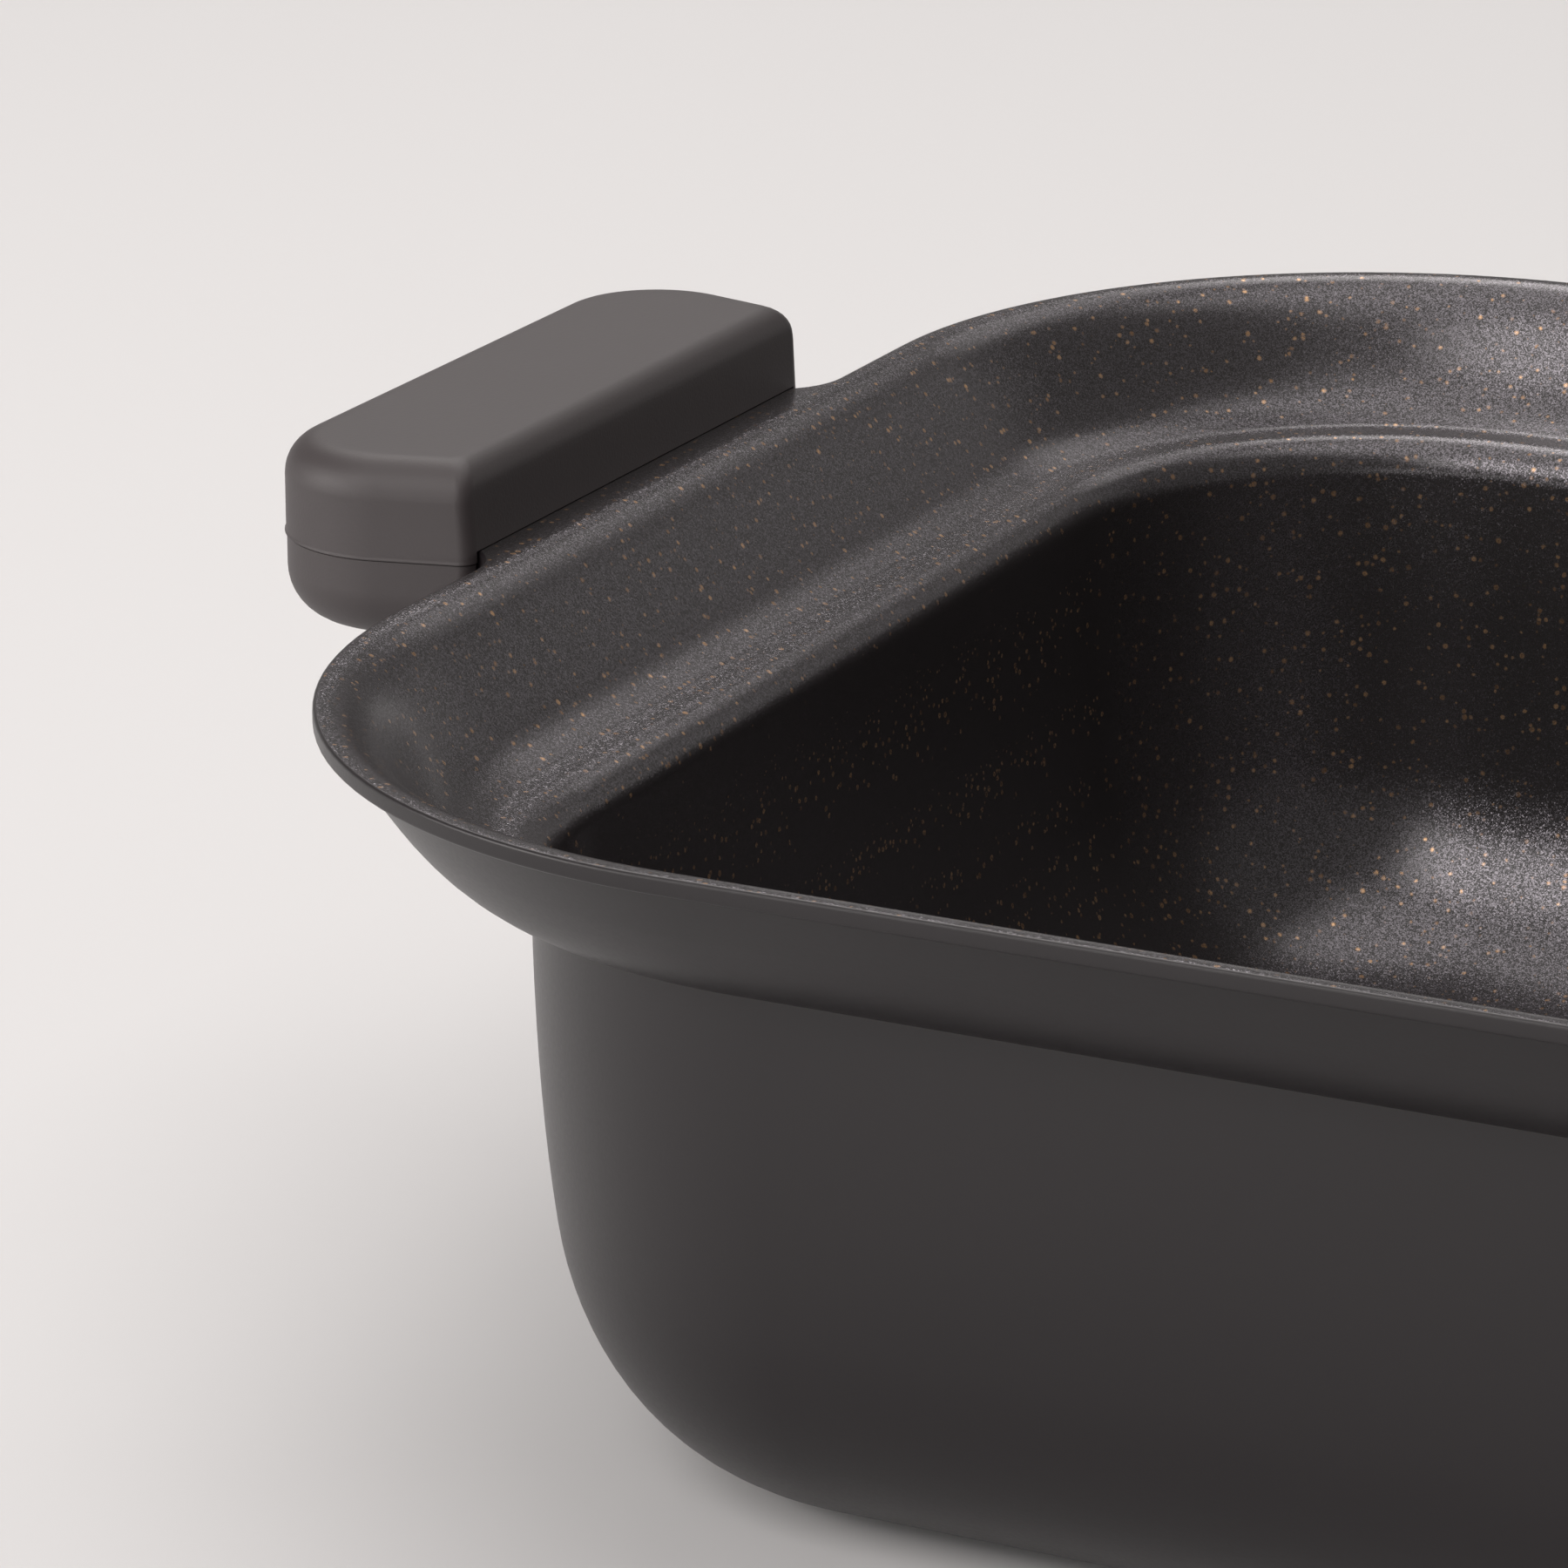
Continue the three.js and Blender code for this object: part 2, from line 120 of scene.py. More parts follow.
# Grips: a bead with a fine groove under it marks the mould's parting line
PARTING_Z = RIM_TOP - 1.1
PARTING_BEAD = 0.15
PARTING_STEP = 0.1
PARTING_GROOVE = 0.08
GRIP_IN = 132.9
GRIP_OUT = grip_high.x - PARTING_BEAD
GRIP_MOUTH_HALF = 41.2
GRIP_LEAN = math.atan(0.25)
GRIP_CORNER = 13.5
GRIP_TOP_ROUND = 4.5
GRIP_BOTTOM_ROUND = 6.1
GRIP_INNER_ROUND = 3.0
GRIP_INNER_DRAFT = 0.06
GRIP_EDGE = 2.0
GRIP_CROWN_INSET = 2.0
SLOT_PLAY = 0.3
SLOT_CLEAR = 0.1
MOUTH_RELIEF = 2.4
MOUTH_RELIEF_DEPTH = 5.5
MOUTH_RELIEF_STRAIGHT = 0.9

# Fasteners
SCREW = (screw_low + screw_high) / 2
SCREW_SPACING = 40.0
HEAD_R = 3.8
HEAD_HEIGHT = 2.3
SHANK_R = 1.95
SHANK_CHAMFER = 0.7
HEAD_CROWN = 1.5
CROSS_SPAN = 4.6
CROSS_WIDTH = 0.9
CROSS_DEPTH = 1.3
COUNTERBORE_R = 4.3
PASSAGE_R = 2.4
POCKET_R = 3.5

# Plate, and the casting's pips that key into its holes
PLATE_R = plate_high.x
PLATE_THICK = plate_high.z
PLATE_EDGE = 0.2
RECESS_GAP = 0.3
RECESS_ROOF_GAP = 0.1
HOLE_R = 2.2
PIP_GAP = 0.12
HOLE_RINGS = {18.0: 8, 33.0: 14, 48.0: 20}
HUB_R = 6.0

# Cutters reach this far past what they cut, and points of a cut that are nearer together than the weld
# become one
CUT_PAST = 1.0
WELD = 0.001

# Steps round curves
CORNER_STEPS = 32
SIDE_STEPS = 6
ROUND_STEPS = 10
EDGE_STEPS = 3
TURN_STEPS = 32


# Making meshes

def bezier(points, steps, start=0.0, end=1.0):
    """Points along a Bezier curve of any degree, or along a share of it."""
    made = []
    for k in range(steps + 1):
        t = start + (end - start) * k / steps
        level = [Vector(p) for p in points]
        while len(level) > 1:
            level = [a.lerp(b, t) for a, b in zip(level, level[1:])]
        made.append(level[0])
    return made


def arc(centre, radius, start, end, steps):
    """Points of a plan arc, with its angles in radians."""
    angles = [start + (end - start) * k / steps for k in range(steps + 1)]
    return [Vector((centre[0] + radius * math.cos(a), centre[1] + radius * math.sin(a))) for a in angles]


def raised(point, z):
    """A plan point at a height."""
    return Vector((point.x, point.y, z))


def add_band(shell, columns):
    """Joins columns of points, in order round a body, into a closed skin with a flat face at each end."""
    grid = [[shell.verts.new(point * MM) for point in column] for column in columns]
    for column, beside in zip(grid, grid[1:] + grid[:1]):
        for k in range(len(column) - 1):
            shell.faces.new((column[k], beside[k], beside[k + 1], column[k + 1]))
    shell.faces.new([column[0] for column in reversed(grid)])
    shell.faces.new([column[-1] for column in grid])


def make_piece(name, *bodies):
    """An object of one or more closed bodies, each given as columns of points."""
    shell = bmesh.new()
    for columns in bodies:
        add_band(shell, columns)
    mesh = bpy.data.meshes.new(name)
    shell.to_mesh(mesh)
    shell.free()
    piece = bpy.data.objects.new(name, mesh)
    bpy.context.scene.collection.objects.link(piece)
    return piece


def prism(outline, low, high):
    """Columns of an upright body with the same plan all the way up."""
    return [[raised(point, low), raised(point, high)] for point in outline]


def turned(profile, centre=(0.0, 0.0), steps=TURN_STEPS):
    """Columns of a turned body, from (radius, height) pairs that start and end off its axis."""
    rings = [arc(centre, radius, 0.0, math.tau, steps)[:-1] for radius, height in profile]
    heights = [height for radius, height in profile]
    return [[raised(ring[k], z) for ring, z in zip(rings, heights)] for k in range(steps)]


def settle(piece):
    """Makes the shape that the modifiers give the piece's own mesh, and closes up its slivers."""
    bpy.context.view_layer.update()
    shaped = piece.evaluated_get(bpy.context.evaluated_depsgraph_get())
    mesh = bpy.data.meshes.new_from_object(shaped)
    piece.modifiers.clear()
    piece.data = mesh
    shell = bmesh.new()
    shell.from_mesh(mesh)
    bmesh.ops.remove_doubles(shell, verts=shell.verts, dist=WELD * MM)
    bmesh.ops.dissolve_degenerate(shell, edges=shell.edges, dist=WELD * MM)
    shell.to_mesh(mesh)
    shell.free()


def cut(piece, *cutters):
    """Takes the cutters out of the piece, and deletes them."""
    for cutter in cutters:
        change = piece.modifiers.new(cutter.name, "BOOLEAN")
        change.operation = "DIFFERENCE"
        change.solver = "EXACT"
        change.object = cutter
    settle(piece)
    for cutter in cutters:
        bpy.data.objects.remove(cutter)


def smooth(piece, crease):
    """Rounds the shading, except where faces meet at more than the crease, in degrees."""
    piece.data.polygons.foreach_set("use_smooth", [True] * len(piece.data.polygons))
    piece.data.set_sharp_from_angle(angle=math.radians(crease))
    level = piece.modifiers.new("even_shading", "WEIGHTED_NORMAL")
    level.keep_sharp = True


def turned_copy(piece, name, turn):
    """The same piece turned about the pot's upright axis."""
    copy = bpy.data.objects.new(name, piece.data.copy())
    copy.data.transform(Matrix.Rotation(turn, 4, "Z"))
    bpy.context.scene.collection.objects.link(copy)
    return copy


# Pot

def outside_section():
    """Half section up the outside, from the edge of the base to the flare where the web starts."""
    base = [
        (BASE_HALF, 0.0),
        (BASE_HALF + BASE_RUN, 0.0),
        (HAUNCH_HALF - HAUNCH_RUN.x, HAUNCH_Z - HAUNCH_RUN.y),
        (HAUNCH_HALF, HAUNCH_Z),
    ]
    wall = [(HAUNCH_HALF, HAUNCH_Z), (WELL_HALF, WALL_KNEE_Z), (WELL_HALF, STEP_Z)]
    made = bezier(base, 2 * ROUND_STEPS) + bezier(wall, ROUND_STEPS)[1:]
    return made + bezier(flare(), ROUND_STEPS, end=WEB_SHARE)[1:]


def flare():
    """The curve under the rim, from the step at the well's top to the lip."""
    top = Vector((RIM_HALF - LIP_OVERHANG, RIM_TOP - LIP_HEIGHT))
    return [(WELL_HALF, STEP_Z), (WELL_HALF + FLARE_FOOT_RUN, STEP_Z), top - FLARE_TOP_RUN, top]


def web():
    """The hollow curve that leaves the flare and runs out level under a tab."""
    before, foot = bezier(flare(), 1, start=WEB_SHARE - SLOPE_STEP, end=WEB_SHARE)
    under = RIM_TOP - TAB_THICK
    lean = (foot.x - before.x) / (foot.y - before.y)
    knee = Vector((foot.x + lean * (under - foot.y), under))
    return [foot, knee, (RIM_HALF + WEB_OUT, under)]


def inside_section():
    """Half section down the inside, from the top of the lip to the edge of the floor."""
    roll = Vector((LAND_END - ROLL_IN, RIM_TOP - ROLL_DROP))
    seat = Vector((SEAT_HALF, SEAT_Z))
    riser = seat + RISER
    inside = WELL_HALF - WALL
    haunch = Vector((HAUNCH_HALF - WALL, HAUNCH_Z + INNER_HAUNCH_RISE))
    lower = Vector((HAUNCH_RUN.x, HAUNCH_RUN.y * (1.0 - FLOOR / HAUNCH_Z)))
    ledge = Vector((SEAT_HALF - SEAT_WIDTH + BRINK_SOFT, SEAT_Z))
    brink = Vector((inside + BRINK_IN, SEAT_Z - BRINK_DROP))
    over = [ledge, ledge - Vector((BRINK_RUN, 0.0)), brink + Vector((0.0, BRINK_RUN)), brink]
    halfway = (riser + seat) / 2
    made = bezier([(LAND_END, RIM_TOP), (LAND_END - ROLL_RUN, RIM_TOP), roll], ROUND_STEPS)
    made += bezier([roll, roll - FLARE_IN_RUN, riser + SEAT_RUN, riser], ROUND_STEPS, end=RISER_SHARE)[1:]
    made += bezier([made[-1], riser, halfway], EDGE_STEPS)[1:]
    made += bezier([halfway, seat, seat - Vector((RISER_SOFT, 0.0))], EDGE_STEPS)[1:]
    made += bezier(over, 2 * ROUND_STEPS)
    made += bezier([brink, (inside, WALL_KNEE_Z), haunch], ROUND_STEPS)[1:]
    floor = [haunch, haunch - lower, (FLOOR_HALF + FLOOR_RUN, FLOOR), (FLOOR_HALF, FLOOR)]
    return made + bezier(floor, 2 * ROUND_STEPS)[1:]


def tab_edge():
    """The edge of the tab on +X, from root to root: points, outward directions and how far each point
    belongs to the tab."""
    fillet = arc((RIM_HALF + TAB_FILLET, -TAB_ROOT), TAB_FILLET, math.pi, math.pi / 2, ROUND_STEPS)
    corner = arc((TAB_END - TAB_CORNER, TAB_CORNER - TAB_HALF), TAB_CORNER, -math.pi / 2, 0.0, ROUND_STEPS)
    centre = Vector((RIM_HALF + TAB_FILLET, -TAB_ROOT))
    edge = []
    for k, point in enumerate(fillet):
        share = k / ROUND_STEPS
        edge.append((point, (centre - point).normalized(), share * share * (3.0 - 2.0 * share)))
    for k in range(1, SIDE_STEPS):
        edge.append((fillet[-1].lerp(corner[0], k / SIDE_STEPS), Vector((0.0, -1.0)), 1.0))
    centre = Vector((TAB_END - TAB_CORNER, TAB_CORNER - TAB_HALF))
    edge += [(point, (point - centre).normalized(), 1.0) for point in corner]
    for k in range(1, SIDE_STEPS + 1):
        edge.append((corner[-1].lerp(Vector((TAB_END, 0.0)), k / SIDE_STEPS), Vector((1.0, 0.0)), 1.0))
    across = Vector((1.0, -1.0))
    mirrored = [(point * across, out * across, share) for point, out, share in edge[-2::-1]]
    return edge + mirrored


def half_round_pot():
    """Places round half of the pot, from the middle of its front to the middle of its back. Each has
    its foot on the square through the corners' centres, its direction out of the pot, the rim's edge
    there, the direction out of that edge, and how far the edge belongs to a tab."""
    places = []

    def plain(foot, out):
        places.append((foot, out, foot + out * RIM_CORNER, out, 0.0))

    def round_corner(side):
        centre = Vector((CORNER_CENTRE, side * CORNER_CENTRE))
        start = min(side, 0.0) * math.pi / 2
        for direction in arc((0.0, 0.0), 1.0, start, start + math.pi / 2, CORNER_STEPS):
            plain(centre, direction)

    for k in range(SIDE_STEPS):
        plain(Vector((CORNER_CENTRE * k / SIDE_STEPS, -CORNER_CENTRE)), Vector((0.0, -1.0)))
    round_corner(-1.0)
    edge = tab_edge()
    run = [0.0]
    for (point, *_), (beyond, *_) in zip(edge, edge[1:]):
        run.append(run[-1] + (beyond - point).length)
    shoulder = (CORNER_CENTRE + TAB_ROOT) / 2
    right = Vector((1.0, 0.0))
    plain(Vector((CORNER_CENTRE, -shoulder)), right)
    for (point, out, share), length in zip(edge, run):
        y = TAB_ROOT * (2.0 * length / run[-1] - 1.0)
        places.append((Vector((CORNER_CENTRE, y)), right, point, out, share))
    plain(Vector((CORNER_CENTRE, shoulder)), right)
    round_corner(1.0)
    for k in range(SIDE_STEPS - 1, 0, -1):
        plain(Vector((CORNER_CENTRE * k / SIDE_STEPS, CORNER_CENTRE)), Vector((0.0, 1.0)))
    return places


def pot_columns():
    """Columns of the casting, and the row at which the outside paint gives way to the lining."""
    outside = outside_section()
    plain_top = bezier(flare(), ROUND_STEPS, start=WEB_SHARE)[1:]
    webbed_top = bezier(web(), ROUND_STEPS)[1:]
    inside = inside_section()
    turns = [math.pi / 2 * k / EDGE_STEPS for k in range(EDGE_STEPS + 1)]
    half = half_round_pot()
    other_half = [tuple(-part for part in place[:4]) + place[4:] for place in half]
    columns = []
    for foot, out, edge, edge_out, share in half + other_half:
        top = [a.lerp(b, share) for a, b in zip(plain_top, webbed_top)]
        column = [raised(foot + out * (p.x - CORNER_CENTRE), p.y) for p in outside + top]
        under = top[-1].y
        for turn in turns:
            inset = LIP_ROUND * (1.0 - math.sin(turn))
            column.append(raised(edge - edge_out * inset, under + LIP_ROUND * (1.0 - math.cos(turn))))
        for turn in turns:
            inset = LIP_ROUND * (1.0 - math.cos(turn))
            column.append(raised(edge - edge_out * inset, RIM_TOP - LIP_ROUND * (1.0 - math.sin(turn))))
        column += [raised(foot + out * (p.x - CORNER_CENTRE), p.y) for p in inside]
        columns.append(column)
    return columns, len(outside + plain_top) + 2 * len(turns) - 1


def hole_outlines(radius):
    """Plans of the plate's holes. Their points start half a step round, to keep clear of the lines that
    part the disc."""
    start = math.pi / TURN_STEPS
    return [
        arc(middle, radius, start, start + math.tau, TURN_STEPS)[:-1]
        for ring, count in HOLE_RINGS.items()
        for middle in arc((0.0, 0.0), ring, 0.0, math.tau, count)[:-1]
    ]


def screw_outlines(x, radius):
    """Plans of a round at each of a grip's two screws."""
    middles = [(x, -SCREW_SPACING / 2), (x, SCREW_SPACING / 2)]
    return [arc(middle, radius, 0.0, math.tau, TURN_STEPS)[:-1] for middle in middles]


def pierced_disc(name, profile, hole_radius):
    """A disc with the plate's holes. Its flat faces are parted along the rings of holes, so that the cuts
    come out clean."""
    parted = [HUB_R, *HOLE_RINGS]
    under = [(radius, profile[0][1]) for radius in parted]
    over = [(radius, profile[-1][1]) for radius in reversed(parted)]
    disc = make_piece(name, turned(under + profile + over, steps=4 * TURN_STEPS))
    low = profile[0][1] - CUT_PAST
    high = profile[-1][1] + CUT_PAST
    bores = [prism(outline, low, high) for outline in hole_outlines(hole_radius)]
    cut(disc, make_piece("bores", *bores))
    return disc


PAINTED, LINED, BARE = range(3)


def bare(face):
    """Whether a face of the pot lies on the faced base or ends one of its pips."""
    level = face.center.z < WELD * MM and face.normal.z < -1.0 + WELD
    return level and face.center.to_2d().length < PLATE_R * MM


def make_pot(paint, lining, bare_metal):
    """The casting, lined inside, painted outside and faced underneath, where the plate is pressed in."""
    columns, lining_row = pot_columns()
    pot = make_piece("cast_pot", columns)
    for finish in (paint, lining, bare_metal):
        pot.data.materials.append(finish)
    # The faces come column by column, then the base, then the well's floor.
    column_faces = len(columns[0]) - 1
    base_face = len(columns) * column_faces
    for face in pot.data.polygons:
        if face.index < base_face:
            lined = face.index % column_faces >= lining_row
        else:
            lined = face.index > base_face
        face.material_index = LINED if lined else PAINTED
    recess_r = PLATE_R + RECESS_GAP
    walls = [(recess_r, -CUT_PAST), (recess_r, PLATE_THICK + RECESS_ROOF_GAP)]
    recess = pierced_disc("recess", walls, HOLE_R - PIP_GAP)
    screw_holes = [
        prism(hole, RIM_TOP - TAB_THICK - CUT_PAST, RIM_TOP + CUT_PAST)
        for side in (-1.0, 1.0)
        for hole in screw_outlines(side * SCREW.x, PASSAGE_R)
    ]
    cut(pot, recess, make_piece("screw_holes", *screw_holes))
    for face in pot.data.polygons:
        if bare(face):
            face.material_index = BARE
    smooth(pot, crease=35.0)
    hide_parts("pot_body")
    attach(pot, "root")


def make_plate(finish):
    """The steel plate, with its edges broken and its holes open to the casting's pips."""
    profile = [
        (PLATE_R - PLATE_EDGE, 0.0),
        (PLATE_R, PLATE_EDGE),
        (PLATE_R, PLATE_THICK - PLATE_EDGE),
        (PLATE_R - PLATE_EDGE, PLATE_THICK),
    ]
    plate = pierced_disc("base_plate", profile, HOLE_R)
    plate.data.materials.append(finish)
    smooth(plate, crease=30.0)
    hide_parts("induction_plate")
    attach(plate, "root")


# Grips

def grip_outline(inset, inner):
    """Plan of a grip drawn in by an inset, with its mouth at some distance from the pot's middle: ends
    that open outwards, two large outer corners and two small ones at the mouth."""
    spread = math.tan(GRIP_LEAN)
    slant = 1.0 / math.cos(GRIP_LEAN)
    half = GRIP_MOUTH_HALF - inset * slant
    corner = GRIP_CORNER - inset
    corner_x = GRIP_OUT - GRIP_CORNER
    corner_y = half + spread * (corner_x - GRIP_IN) - corner * slant
    edge_x = inner + GRIP_EDGE
    edge_y = half + spread * (edge_x - GRIP_IN) - GRIP_EDGE * slant
    lean = math.pi / 2 + GRIP_LEAN
    side = arc((corner_x, corner_y), corner, 0.0, lean, 2 * ROUND_STEPS)
    side += arc((edge_x, edge_y), GRIP_EDGE, lean, math.pi, ROUND_STEPS // 2)
    return side + [Vector((p.x, -p.y)) for p in reversed(side)]


def round_inset(radius, depth):
    """How far a quarter round draws in, at a depth below its crown."""
    rise = max(radius - depth, 0.0)
    return radius - math.sqrt(radius * radius - rise * rise)


def grip_columns():
    """Columns of a solid grip, from levels that each have a height and a distance drawn in."""
    top = grip_high.z
    under = grip_low.z
    quarter = [1.0 - math.cos(math.pi / 2 * k / ROUND_STEPS) for k in range(ROUND_STEPS + 1)]
    levels = [(under, GRIP_CROWN_INSET)]
    levels += [(under + GRIP_BOTTOM_ROUND * rise, PARTING_STEP) for rise in quarter]
    bead = PARTING_BEAD
    groove = PARTING_STEP + PARTING_GROOVE
    # Up the parting line, in heights of the bead: the lower half, the groove, the bead, the upper half
    parting = [(-2.0, PARTING_STEP), (-1.7, groove), (-1.0, groove)]
    parting += [(-0.5, -bead), (0.5, -bead), (2.0, 0.0)]
    levels += [(PARTING_Z + beads * bead, drawn_in) for beads, drawn_in in parting]
    levels += [(top - GRIP_TOP_ROUND * rise, 0.0) for rise in reversed(quarter)]
    levels += [(top, GRIP_CROWN_INSET)]
    outlines = []
    for z, drawn_in in levels:
        inset = round_inset(GRIP_TOP_ROUND, top - z) + round_inset(GRIP_BOTTOM_ROUND, z - under) + drawn_in
        inner_round = round_inset(GRIP_INNER_ROUND, top - z) + round_inset(GRIP_INNER_ROUND, z - under)
        inner = GRIP_IN + GRIP_INNER_DRAFT * abs(z - PARTING_Z) + inner_round + max(drawn_in, 0.0)
        outlines.append([raised(p, z) for p in grip_outline(inset, inner)])
    return [list(column) for column in zip(*outlines)]


def slot_outlines():
    """Plan of the slot that takes the tab, and of its mouth, which is wider round the tab's root."""
    half = TAB_HALF + SLOT_PLAY
    front = GRIP_IN - MOUTH_RELIEF
    end = TAB_END + SLOT_PLAY - TAB_CORNER
    bed = [Vector((front, -half))]
    bed += arc((end, TAB_CORNER - half), TAB_CORNER, -math.pi / 2, 0.0, ROUND_STEPS)
    bed += arc((end, half - TAB_CORNER), TAB_CORNER, 0.0, math.pi / 2, ROUND_STEPS)
    bed += [Vector((front, half))]
    wide = half + MOUTH_RELIEF
    mouth = [
        Vector((front, -wide)),
        Vector((GRIP_IN + MOUTH_RELIEF_STRAIGHT, -wide)),
        Vector((GRIP_IN + MOUTH_RELIEF_DEPTH, -half)),
    ]
    return bed, mouth + [Vector((p.x, -p.y)) for p in reversed(mouth)]


def make_grips(finish):
    """Two like mouldings, each slotted for its tab and bored for its screws and inserts."""
    grip = make_piece("grip_moulding_right", grip_columns())
    low = RIM_TOP - TAB_THICK - SLOT_CLEAR
    high = RIM_TOP + SLOT_CLEAR
    bed, mouth = slot_outlines()
    bores = {
        "counterbores": (COUNTERBORE_R, grip_low.z - CUT_PAST, washer_high.z + SLOT_CLEAR),
        "passages": (PASSAGE_R, washer_high.z - CUT_PAST, low + CUT_PAST),
        "pockets": (POCKET_R, high - CUT_PAST, insert_high.z + SLOT_PLAY),
    }
    cutters = [make_piece("bed", prism(bed, low, high)), make_piece("mouth", prism(mouth, low, high))]
    for name, (radius, bottom, top) in bores.items():
        rounds = [prism(outline, bottom, top) for outline in screw_outlines(SCREW.x, radius)]
        cutters.append(make_piece(name, *rounds))
    cut(grip, *cutters)
    grip.data.materials.append(finish)
    pair = {"right": grip, "left": turned_copy(grip, "grip_moulding_left", math.pi)}
    for hand, piece in pair.items():
        smooth(piece, crease=40.0)
        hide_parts(f"grip_{hand}")
        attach(piece, "root")


# Fasteners

def screw_profile():
    """Half section of a pan-head screw, head down, as (radius, height) pairs."""
    foot = screw_low.z
    end = screw_high.z
    flat = foot + HEAD_HEIGHT
    crown = (HEAD_R - HEAD_CROWN, foot + HEAD_CROWN)
    profile = [(p.x, p.y) for p in arc(crown, HEAD_CROWN, -math.pi / 2, 0.0, ROUND_STEPS // 2)]
    profile += [(HEAD_R, flat), (SHANK_R, flat)]
    return profile + [(SHANK_R, end - SHANK_CHAMFER), (SHANK_R - SHANK_CHAMFER, end)]


def make_screws(finish):
    """Pan-head screws, each with a cross recess."""
    profile = screw_profile()
    arm = CROSS_SPAN / 2
    thin = CROSS_WIDTH / 2
    quadrant = [Vector((arm, -thin)), Vector((arm, thin)), Vector((thin, thin))]
    cross = [Matrix.Rotation(math.pi / 2 * k, 2) @ p for k in range(4) for p in quadrant]
    for hand in HANDS:
        for k in SETS:
            node = f"grip_screw_{hand}_{k}"
            low, high = box_mm(node)
            middle = ((low + high) / 2).to_2d()
            screw = make_piece(f"pan_screw_{hand}_{k}", turned(profile, middle))
            recess = prism([p + middle for p in cross], low.z - CUT_PAST, low.z + CROSS_DEPTH)
            cut(screw, make_piece("cross", recess))
            screw.data.materials.append(finish)
            smooth(screw, crease=35.0)
            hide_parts(node)
            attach(screw, "root")


def dress_washers_and_inserts(steel, brass):
    """The washers and the inserts are shown as the solids have them, in their own metals."""
    for name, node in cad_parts.items():
        if name.startswith(("lock_washer", "grip_insert")):
            node.data.materials.clear()
            node.data.materials.append(steel if name.startswith("lock_washer") else brass)


# Finishes

def linear(colour):
    """A linear colour from an sRGB hex value such as #3b3836."""
    parts = [int(colour[k:k + 2], 16) / 255.0 for k in (1, 3, 5)]
    return [p / 12.92 if p <= 0.04045 else ((p + 0.055) / 1.055) ** 2.4 for p in parts] + [1.0]


def per_mm(size):
    """Texture scale for a pattern that repeats after some millimetres."""
    return 1.0 / (size * MM)


def add(tree, kind, inputs=None, **settings):
    """Adds a node, sets its options, and sets or links its inputs."""
    node = tree.nodes.new("ShaderNode" + kind)
    for name, value in settings.items():
        setattr(node, name, value)
    for name, value in (inputs or {}).items():
        if isinstance(value, bpy.types.NodeSocket):
            tree.links.new(value, node.inputs[name])
        else:
            node.inputs[name].default_value = value
    return node


# A colour Mix node's sockets share their names with its other ones, so they go by number.
MIX_A, MIX_B, MIX_RESULT = 6, 7, 2


def new_finish(name):
    """A material without nodes, its tree, and places on the piece in metres."""
    finish = bpy.data.materials.new(name)
    finish.use_nodes = True
    tree = finish.node_tree
    tree.nodes.clear()
    place = add(tree, "TexCoord").outputs["Object"]
    return finish, tree, place


def sprayed_paint():
    """Heat-proof silicone paint, sprayed and baked on the casting's outside: near black under a broad
    soft sheen, with a faint dry grain."""
    finish, tree, place = new_finish("silicone_paint_sprayed_matte")
    cloud = add(tree, "TexNoise", {"Vector": place, "Scale": per_mm(30.0), "Detail": 3.0}).outputs["Fac"]
    grain = add(tree, "TexNoise", {"Vector": place, "Scale": per_mm(0.5), "Detail": 2.0}).outputs["Fac"]
    bump = add(tree, "Bump", {"Height": grain, "Strength": 0.12, "Distance": 0.05 * MM})
    rough = add(tree, "MapRange", {"Value": grain, "To Min": 0.34, "To Max": 0.42})
    tone = add(tree, "Mix", {
        "Factor": cloud,
        MIX_A: linear("#161214"),
        MIX_B: linear("#191517"),
    }, data_type="RGBA")
    shader = add(tree, "BsdfPrincipled", {
        "Base Color": tone.outputs[MIX_RESULT],
        "Roughness": rough.outputs["Result"],
        "IOR": 1.5,
        "Normal": bump.outputs["Normal"],
    })
    add(tree, "OutputMaterial", {"Surface": shader.outputs["BSDF"]})
    return finish


def flecks(tree, place, size, share, radius, soft):
    """Round specks of up to some radius with a soft edge, one in a share of the cells of a size: how far
    a point is in one of them, and a random value for each."""
    cell = add(tree, "TexVoronoi", {"Vector": place, "Scale": per_mm(size)})
    drawn = add(tree, "SeparateColor", {"Color": cell.outputs["Color"]})
    reach = add(tree, "MapRange", {
        "Value": drawn.outputs["Red"],
        "From Min": 1.0 - share,
        "To Max": radius / size,
    })
    inside = add(tree, "Math", {
        0: reach.outputs["Result"],
        1: cell.outputs["Distance"],
    }, operation="SUBTRACT")
    mask = add(tree, "MapRange", {"Value": inside.outputs["Value"], "From Max": soft / size})
    return mask.outputs["Result"], drawn.outputs["Green"]


